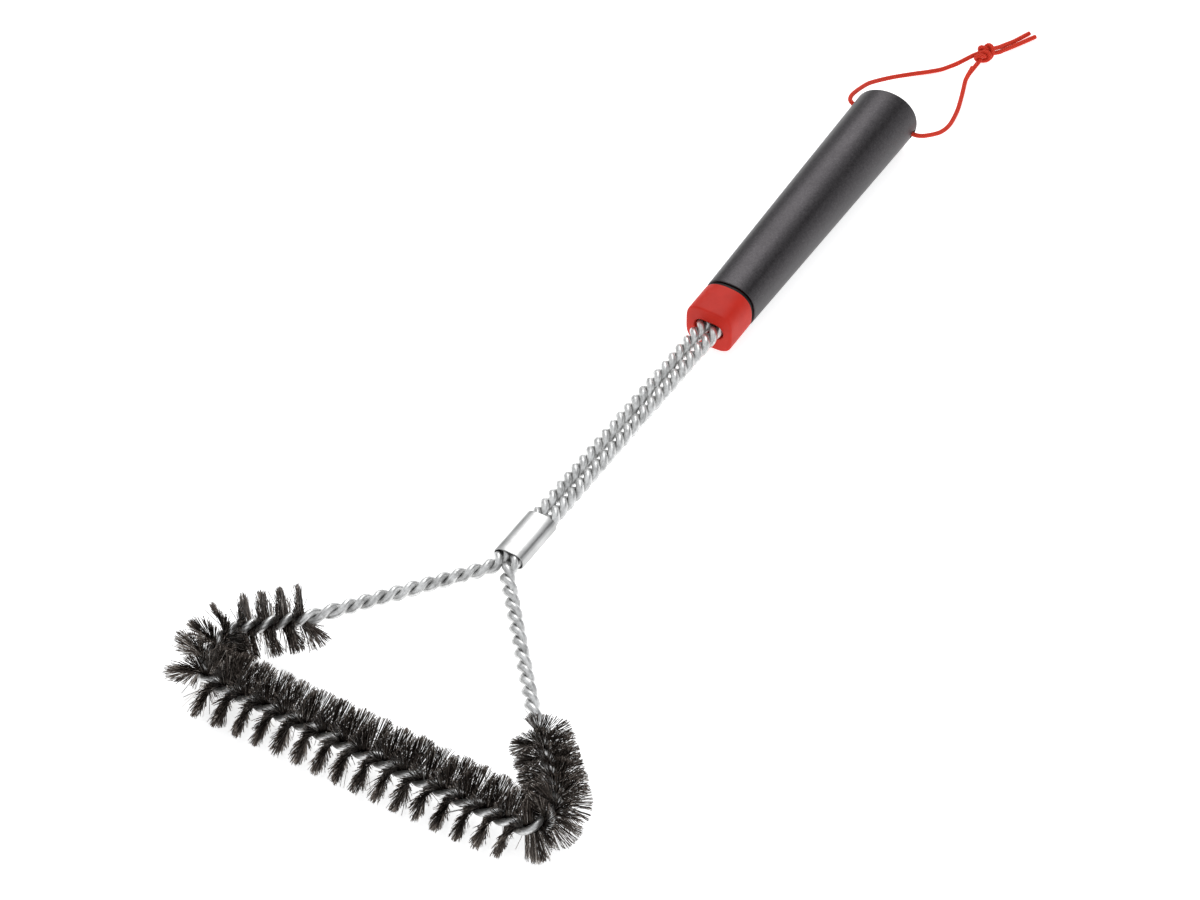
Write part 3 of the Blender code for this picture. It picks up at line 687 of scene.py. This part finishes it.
class Rope:
    """The rope's centre line with its lengths, directions and twist."""

    def __init__(self):
        left = side_route(-1, KNEE_LEFT, OUTER_LEFT, CORNER_LEFT)
        right = side_route(1, KNEE_RIGHT, OUTER_RIGHT, CORNER_RIGHT)
        bends = [BEND_COLLAR, BEND_APEX, BEND_KNEE, BEND_OUTER, BEND_CORNER]
        self.points = rounded_route(left + right[::-1], bends + bends[::-1])
        self.s = np.concatenate([[0.0], np.cumsum(np.linalg.norm(np.diff(self.points, axis=0), axis=1))])
        self.length = self.s[-1]
        self.tangent = unit(np.gradient(self.points, self.s, axis=0))
        self.first = self.nearest((*KNEE_LEFT, head_z(KNEE_LEFT[1]))) + FIRST_FROM_KNEE
        self.last = self.nearest((*KNEE_RIGHT, head_z(KNEE_RIGHT[1]))) - LAST_FROM_KNEE
        apex_left = self.nearest((-ROPE_SPACING / 2, APEX_Y, APEX_Z))
        apex_right = self.nearest((ROPE_SPACING / 2, APEX_Y, APEX_Z))
        bend_left = self.nearest((*OUTER_LEFT, head_z(OUTER_LEFT[1])))
        corner_left = self.nearest((*CORNER_LEFT, BRISTLE_R))
        corner_right = self.nearest((*CORNER_RIGHT, BRISTLE_R))
        pitch = np.full(len(self.s), PITCH_CROSSBAR)
        pitch[self.s < corner_left] = PITCH_BRISTLED_LEFT
        pitch[self.s > corner_right] = PITCH_BRISTLED_RIGHT
        pitch[(self.s < self.first) | (self.s > self.last)] = PITCH_KNEE
        pitch[(self.s < self.first - KNEE_RUN) | (self.s > self.last + KNEE_RUN)] = PITCH_LEG
        pitch[self.s < apex_left] = PITCH_STEM_LEFT
        pitch[self.s > apex_right] = PITCH_STEM_RIGHT
        self.trim = ([bend_left, bend_left + TRIM_CHANGE, corner_right - TRIM_RIGHT_RUN, corner_right,
                      self.last],
                     [TRIM_LEG, TRIM_CROSSBAR, TRIM_CROSSBAR, TRIM_RIGHT_CORNER, TRIM_RIGHT_LEG])
        self.loose = ([self.first, bend_left, bend_left + TRIM_CHANGE], [1.0, LOOSE_BEND, LOOSE_FRONT])
        self.lean = ([self.first, bend_left], [DROOP, 0.0])
        rate = 2 * math.pi / pitch
        self.turned = -np.concatenate([[0.0], np.cumsum((rate[1:] + rate[:-1]) / 2 * np.diff(self.s))])

    def nearest(self, point):
        return self.s[np.argmin(np.linalg.norm(self.points - np.array(point), axis=1))]

    def at(self, s):
        """Centres, two cross directions and tangents at lengths s."""
        centre = np.stack([np.interp(s, self.s, self.points[:, k]) for k in range(3)], axis=-1)
        tangent = unit(np.stack([np.interp(s, self.s, self.tangent[:, k]) for k in range(3)], axis=-1))
        up = unit(np.array([0.0, 0.0, 1.0]) - tangent[:, 2:] * tangent)
        return centre, np.cross(up, tangent), up, tangent

    def twist(self, s):
        return np.interp(s, self.s, self.turned)

    def stations(self, start, end, per_turn):
        """Lengths between start and end at even steps of twist."""
        first, last = self.twist(start), self.twist(end)
        count = max(3, int(round(abs(last - first) / (2 * math.pi) * per_turn)) + 1)
        return np.interp(-np.linspace(first, last, count), -self.turned, self.s)


WIRE_STEPS_PER_TURN = 34
WIRE_SIDES = 20


def add_wire(rope, name, node, phase, made_material):
    s = rope.stations(0.0, rope.length, WIRE_STEPS_PER_TURN)
    centre, side, up, _ = rope.at(s)
    angle = (rope.twist(s) + phase)[:, None]
    path = centre + HELIX_R * (np.cos(angle) * side + np.sin(angle) * up)
    points, faces, around = sweep(path, WIRE_D / 2, WIRE_SIDES)
    strand = np.stack([np.repeat(s, WIRE_SIDES), np.tile(np.cos(around), len(s)),
                       np.tile(np.sin(around), len(s))],
                      axis=-1) * MM
    strand = np.concatenate([strand, strand[:1], strand[-1:]])
    wire = add_mesh(name, place(points), faces, made_material, "brush", "zinc_wire", strand=strand)
    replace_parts(wire, node)


# ---------------------------------------------------------------- bristles

FILAMENT_D = 0.28
FILAMENTS_PER_MM = 22.0
FILAMENT_RINGS = 8
FILAMENT_SIDES = 3
CLUMP = 0.7
CLUMP_TILT = 0.022
LOOSE_TILT = 0.035
CLUMP_TURN = 0.03
LOOSE_TURN = 0.04
LOOSE_BEND = 1.2
LOOSE_FRONT = 1.9
DROOP = 0.95
STRAY_SHARE = 0.03
STRAY_TILT = 0.20
CURL = 0.5
KINK = 0.09
TIP_CLEAR = 0.15


def filaments(rope, start, end):
    """Points and shades of the bristles between two lengths of the rope; each is two ends."""
    count = int((end - start) * FILAMENTS_PER_MM)
    s = np.sort(random.uniform(start, end, count))
    clump = np.floor(s / CLUMP).astype(int)
    clump -= clump.min()
    clumps = clump.max() + 1
    s = np.repeat(s, 2)
    clump = np.repeat(clump, 2)
    half_turn = np.tile([0.5, -0.5], count) * math.pi
    which = np.tile([0, 1], count)
    stray = random.random(2 * count) < STRAY_SHARE
    tilt = random.normal(0, CLUMP_TILT, (clumps, 2))[clump, which] + random.normal(0, LOOSE_TILT, 2 * count)
    tilt += stray * random.normal(0, STRAY_TILT, 2 * count)
    turn = random.normal(0, CLUMP_TURN, (clumps, 2))[clump, which] + random.normal(0, LOOSE_TURN, 2 * count)
    reach = np.interp(s, *rope.trim) * (1 - np.abs(random.normal(0, 0.035, 2 * count)))
    reach *= 1 - 0.10 * random.random((clumps, 2))[clump, which] * random.random(2 * count)

    centre, side, up, tangent = rope.at(s)
    turn *= np.interp(s, *rope.loose)
    angle = (rope.twist(s) + half_turn + turn)[:, None]
    outward = np.cos(angle) * side + np.sin(angle) * up
    down = np.clip(-outward[:, 2], 0, 1)
    tilt -= down * np.interp(s, *rope.lean) * random.uniform(0.1, 1.5, 2 * count)
    direction = unit(outward + tangent * tilt[:, None])
    root = centre + tangent * random.normal(0, 0.12, 2 * count)[:, None]
    root += np.cross(outward, tangent) * random.uniform(-0.5, 0.5, 2 * count)[:, None]
    curl = random.normal(0, CURL, (2 * count, 3))
    curl -= direction * np.sum(curl * direction, axis=1)[:, None]

    tip_z = root[:, 2] + direction[:, 2] * reach + curl[:, 2]
    below = tip_z < TIP_CLEAR
    reach[below] *= np.clip((root[below, 2] - TIP_CLEAR) / (root[below, 2] - tip_z[below]), 0.3, 1.0)
    reach = np.minimum(reach, open_reach(rope, s, root, direction))

    along = np.linspace(0.0, 1.0, FILAMENT_RINGS)[None, :, None]
    path = root[:, None] + direction[:, None] * reach[:, None, None] * along + curl[:, None] * along ** 2
    path[:, 1:] += random.normal(0, KINK, path[:, 1:].shape)
    first = unit(np.cross(direction, tangent + 0.01))
    second = np.cross(direction, first)
    around = 2 * math.pi * np.arange(FILAMENT_SIDES) / FILAMENT_SIDES
    ring = (np.cos(around)[None, None, :, None] * first[:, None, None]
            + np.sin(around)[None, None, :, None] * second[:, None, None]) * FILAMENT_D / 2
    points = path[:, :, None] + ring
    shade = np.clip(random.beta(2.0, 2.6, 2 * count) + (random.random(2 * count) > 0.93) * 0.3, 0, 1)
    return points, shade


def open_reach(rope, s, root, direction):
    """How far each bristle can reach before it would run into another stretch's wires."""
    bristled = np.flatnonzero((rope.s > rope.first - 6) & (rope.s < rope.last + 6))[::4]
    others, other_s = rope.points[bristled], rope.s[bristled]
    reach = np.full(len(s), BRISTLE_R)
    for radius in np.arange(9.0, BRISTLE_R + 0.5, 1.5)[::-1]:
        tip = root + direction * radius
        away = np.linalg.norm(tip[:, None] - others[None], axis=2)
        away[np.abs(other_s[None] - s[:, None]) < 26.0] = BRISTLE_R
        crowded = away.min(axis=1) < 6.0
        reach[crowded] = np.minimum(reach[crowded], radius - 1.5)
    return reach


def add_bristles(rope, name, nodes, start, end, made_material):
    points, shade = filaments(rope, start, end)
    count = len(points)
    per_bristle = FILAMENT_RINGS * FILAMENT_SIDES
    offset = (np.arange(count) * per_bristle)[:, None, None]
    quads = ring_faces(FILAMENT_RINGS, FILAMENT_SIDES)[None] + offset
    last = per_bristle - FILAMENT_SIDES
    caps = np.array([[2, 1, 0], [last, last + 1, last + 2]])[None] + offset
    faces = [quads.reshape(-1, 4), caps.reshape(-1, 3)]
    made = add_mesh(name, place(points.reshape(-1, 3)), faces, made_material, "brush", "bristle_steel",
                    shade=np.repeat(shade, per_bristle))
    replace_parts(made, *nodes)


def add_head(rope, made_material):
    reach = 12.0
    corner_left = rope.nearest((*CORNER_LEFT, BRISTLE_R))
    corner_right = rope.nearest((*CORNER_RIGHT, BRISTLE_R))
    stretches = (("left", rope.first, corner_left - reach),
                 ("left_corner", corner_left - reach, corner_left + reach),
                 ("front", corner_left + reach, corner_right - reach),
                 ("right_corner", corner_right - reach, corner_right + reach),
                 ("right", corner_right + reach, rope.last))
    for name, start, end in stretches:
        nodes = [f"bristles_{name}_{letter}" for letter in "ab"]
        add_bristles(rope, f"bristles_{name}", nodes, start, end, made_material)


# ---------------------------------------------------------------- handle and ferrule

HANDLE_SIDES = 144
TUBE_FRONT_ROUND = 0.35
TUBE_BUTT_ROUND = 0.7
SLANT_RUN = 6.0                   # the stretch before the butt over which the tube's rings turn askew
PLUG_GAP = 0.12
PLUG_ROUND = 0.35
RING_INSET = 0.75
SMALL_ROUND = 0.3
COLLAR_ROUND = 0.9
COLLAR_BACK_INSET = 0.1
MOUTH_ROUND = 0.5
FERRULE_SOFT = 0.45               # share of the ferrule's wall that its outer edges are rounded by
FERRULE_INNER_SOFT = (0.1, 0.3)   # the inner edge's depth into the wall, and along it


def squircle(a, b, n, sides=HANDLE_SIDES):
    """A rounded outline, 2 being an ellipse and more squarer, as (x, z) counter-clockwise."""
    angle = 2 * math.pi * np.arange(sides) / sides
    c, s = np.cos(angle), np.sin(angle)
    return np.stack([a * np.sign(c) * np.abs(c) ** (2 / n), b * np.sign(s) * np.abs(s) ** (2 / n)], axis=1)


def stadium(width, height, sides=HANDLE_SIDES):
    """A slot-shaped outline with its points spread by angle, as squircle's are."""
    radius = height / 2
    half = width / 2 - radius
    angle = 2 * math.pi * np.arange(sides) / sides
    c, s = np.cos(angle), np.sin(angle)
    run = np.stack([c * width / 2, s * radius], axis=1)
    centre = np.clip(run[:, 0], -half, half)
    offset = np.stack([run[:, 0] - centre, run[:, 1]], axis=1)
    flat = np.abs(run[:, 0]) <= half
    made = np.stack([centre, np.sign(s) * radius], axis=1)
    bent = unit(offset + 1e-12) * radius
    made[~flat] = np.stack([centre, np.zeros(sides)], axis=1)[~flat] + bent[~flat]
    return made


def tube_section(y, inset):
    """The tube's outline at y, moved in by inset."""
    t = (y - TUBE_FRONT_Y) / (BUTT_Y - TUBE_FRONT_Y)
    a = TUBE_FRONT_A + (BUTT_R - TUBE_FRONT_A) * t - inset
    b = TUBE_FRONT_B + (BUTT_R - TUBE_FRONT_B) * t - inset
    return squircle(a, b, TUBE_FRONT_N + (TUBE_BUTT_N - TUBE_FRONT_N) * t)


def ring_at(y, outline, slant=0.0):
    """An outline across the handle's axis at y, with its plane leaning by slant."""
    return np.stack([outline[:, 0], y + slant * outline[:, 0], outline[:, 1]], axis=1)


def tube_ring(y, inset, slant=0.0):
    return ring_at(y, tube_section(y, inset), slant)


def handle_place(points):
    """Points across the handle's axis, in metres in the frame."""
    x, y, z = np.asarray(points, float).T
    y = y - BUTT_Y
    turned = np.stack([x, y * math.cos(TILT) + z * math.sin(TILT),
                       -y * math.sin(TILT) + z * math.cos(TILT)], axis=1)
    return place(turned + (0.0, BUTT_Y, BUTT_R))


def corner_arc(radius, steps=5):
    """Offsets (in, along) round an outer corner, from the side to the face."""
    return [(radius * (1 - math.cos(a)), radius * math.sin(a)) for a in np.linspace(0, math.pi / 2, steps)]


def loft(name, rings, made_material, slot, body="brush", closed=False, to_frame=handle_place, sharp_angle=40):
    sides = len(rings[0])
    points = to_frame(np.concatenate(rings))
    faces = [ring_faces(len(rings), sides, closed)]
    if not closed:
        last = (len(rings) - 1) * sides
        faces.append(np.arange(sides)[None, ::-1])
        faces.append(last + np.arange(sides)[None])
    return add_mesh(name, points, faces, made_material, body, slot, sharp_angle)


def cut_hole(target):
    """The cord's hole, right across the handle."""
    sides = 64
    angle = (2 * math.pi * np.arange(sides) / sides)[:, None]
    along = unit(np.cross([0.0, 0.0, 1.0], HOLE_AXIS))
    ring = np.array([0.0, HOLE_Y, 0.0]) + HOLE_R * (np.cos(angle) * along
                                                    + np.sin(angle) * np.cross(HOLE_AXIS, along))
    points = handle_place(np.concatenate([ring + HOLE_AXIS * end * (BUTT_R + 5.0) for end in (-1, 1)]))
    mesh = bpy.data.meshes.new("hole")
    faces = [tuple(range(sides))[::-1], tuple(range(sides, 2 * sides))]
    faces += [(i, (i + 1) % sides, sides + (i + 1) % sides, sides + i) for i in range(sides)]
    mesh.from_pydata([tuple(p) for p in points], [], faces)
    cutter = bpy.data.objects.new("hole", mesh)
    bpy.context.scene.collection.objects.link(cutter)
    boolean = target.modifiers.new("hole", "BOOLEAN")
    boolean.operation = "DIFFERENCE"
    boolean.object = cutter
    bpy.context.view_layer.update()
    solved = bpy.data.meshes.new_from_object(target.evaluated_get(bpy.context.evaluated_depsgraph_get()))
    target.modifiers.clear()
    target.data = solved
    target.data.set_sharp_from_angle(angle=math.radians(40))
    bpy.data.objects.remove(cutter)


def add_tube(made_material):
    stops = np.linspace(TUBE_FRONT_Y + 1.0, BUTT_Y - SLANT_RUN, 30)
    rings = [tube_ring(TUBE_FRONT_Y + TUBE_FRONT_ROUND - along, into)
             for into, along in corner_arc(TUBE_FRONT_ROUND)][::-1]
    rings += [tube_ring(y, 0.0) for y in stops]
    rings += [tube_ring(BUTT_Y - TUBE_BUTT_ROUND + along, into, BUTT_SLANT)
              for into, along in corner_arc(TUBE_BUTT_ROUND, 7)]
    rings.append(tube_ring(BUTT_Y, TUBE_WALL, BUTT_SLANT))
    rings += [tube_ring(y, TUBE_WALL) for y in np.linspace(BUTT_Y - SLANT_RUN, TUBE_FRONT_Y, 6)]
    tube = loft("handle_shell", rings, made_material, "handle_grey", closed=True)
    cut_hole(tube)
    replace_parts(tube, "handle_tube")


def add_plug(made_material):
    clear = TUBE_WALL + PLUG_GAP
    rings = [tube_ring(BUTT_Y - PLUG_DEPTH, clear, BUTT_SLANT)]
    rings += [tube_ring(BUTT_Y - PLUG_ROUND + along, clear + into, BUTT_SLANT)
              for into, along in corner_arc(PLUG_ROUND)]
    for inset, depth in ((1.6, 0.0), (1.8, 0.08), (2.0, 0.25), (2.3, 0.30), (6.0, 0.32), (9.5, 0.34)):
        rings.append(tube_ring(BUTT_Y, clear + inset, BUTT_SLANT) - (0.0, depth, 0.0))
    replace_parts(loft("end_cap", rings, made_material, "black_plastic"), "end_plug")


def add_ring(made_material):
    front = TUBE_FRONT_Y - RING_T - GAP
    rings = [tube_ring(front + RING_T / 2, TUBE_WALL)]
    rings += [tube_ring(front + SMALL_ROUND - along, RING_INSET + into)
              for into, along in corner_arc(SMALL_ROUND)][::-1]
    rings += [tube_ring(front + RING_T - SMALL_ROUND + along, RING_INSET + into)
              for into, along in corner_arc(SMALL_ROUND)]
    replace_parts(loft("seal_ring", rings, made_material, "black_plastic", closed=True), "spacer_ring")


def add_collar(made_material):
    """The red collar: a soft-square body whose front face runs in to the mouth of the channel."""
    back = TUBE_FRONT_Y - RING_T - 2 * GAP
    spigot_end = TUBE_FRONT_Y + SPIGOT_DEPTH
    clear = TUBE_WALL + GAP
    channel = stadium(CHANNEL_W, CHANNEL_H)
    rings = [ring_at(spigot_end, channel), ring_at(spigot_end, tube_section(spigot_end, clear + 0.2)),
             ring_at(back, tube_section(TUBE_FRONT_Y, clear))]
    rings += [ring_at(back - SMALL_ROUND + along, tube_section(TUBE_FRONT_Y, COLLAR_BACK_INSET + into))
              for into, along in corner_arc(SMALL_ROUND)][::-1]
    body = squircle(COLLAR_A, COLLAR_B, COLLAR_N)
    tail = tube_section(TUBE_FRONT_Y, COLLAR_BACK_INSET)
    for t in np.linspace(0.9, 0.0, 8):
        y = COLLAR_Y + COLLAR_ROUND + (back - COLLAR_Y - COLLAR_ROUND) * t
        rings.append(ring_at(y, body + (tail - body) * t ** 1.6))
    for into, along in corner_arc(COLLAR_ROUND, 7)[1:]:
        outline = squircle(COLLAR_A - into, COLLAR_B - into, COLLAR_N)
        rings.append(ring_at(COLLAR_Y + COLLAR_ROUND - along, outline))
    face = squircle(COLLAR_A - COLLAR_ROUND, COLLAR_B - COLLAR_ROUND, COLLAR_N)
    mouth = stadium(CHANNEL_W + 2 * MOUTH_ROUND, CHANNEL_H + 2 * MOUTH_ROUND)
    for t in (0.35, 0.7, 1.0):
        rings.append(ring_at(COLLAR_Y, face + (mouth - face) * t))
    for into, along in corner_arc(MOUTH_ROUND)[1:]:
        wider = 2 * (MOUTH_ROUND - along)
        rings.append(ring_at(COLLAR_Y + into, stadium(CHANNEL_W + wider, CHANNEL_H + wider)))
    collar = loft("collar_cap", rings, made_material, "red_plastic", closed=True)
    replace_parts(collar, "collar")


def add_ferrule(made_material):
    slope = math.atan2(APEX_Z - axis_z(COLLAR_Y), COLLAR_Y - APEX_Y)
    front_z = APEX_Z - (FERRULE_FRONT_Y - APEX_Y) * math.tan(slope)

    def to_frame(points):
        x, y, z = points.T
        turned = np.stack([x, y * math.cos(slope) + z * math.sin(slope),
                           -y * math.sin(slope) + z * math.cos(slope)], axis=1)
        return place(turned + (0.0, FERRULE_FRONT_Y, front_z))

    def ring(y, wall):
        return ring_at(y, squircle(FERRULE_INNER_W / 2 + wall, FERRULE_INNER_H / 2 + wall, FERRULE_N))

    soft = FERRULE_WALL * FERRULE_SOFT
    inner_wall, inner_run = FERRULE_INNER_SOFT
    rings = [ring(y, FERRULE_WALL) for y in np.linspace(soft, FERRULE_LENGTH - soft, 16)]
    rings += [ring(FERRULE_LENGTH - soft + along, FERRULE_WALL - into)
              for into, along in corner_arc(soft)[1:]]
    rings += [ring(FERRULE_LENGTH, inner_wall), ring(FERRULE_LENGTH - inner_run, 0.0),
              ring(inner_run, 0.0), ring(0.0, inner_wall)]
    rings += [ring(soft - along, FERRULE_WALL - into) for into, along in corner_arc(soft)[:0:-1]]
    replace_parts(loft("ferrule_sleeve", rings, made_material, "polished_steel", closed=True, to_frame=to_frame,
                     sharp_angle=50), "ferrule")


# ---------------------------------------------------------------- everything

def main():
    add_camera()
    add_cords(orange_cord())
    add_studio()
    rope = Rope()
    zinc = zinc_wire()
    add_wire(rope, "strand_a", "wire_a", 0.0, zinc)
    add_wire(rope, "strand_b", "wire_b", math.pi, zinc)
    add_head(rope, bristle_steel())
    add_ferrule(polished_steel())
    black = black_plastic()
    add_tube(handle_grey())
    add_plug(black)
    add_ring(black)
    add_collar(red_plastic())
    core = frame["nodes"]["wire_core"]
    core.data.materials.clear()
    core.data.materials.append(black)


main()
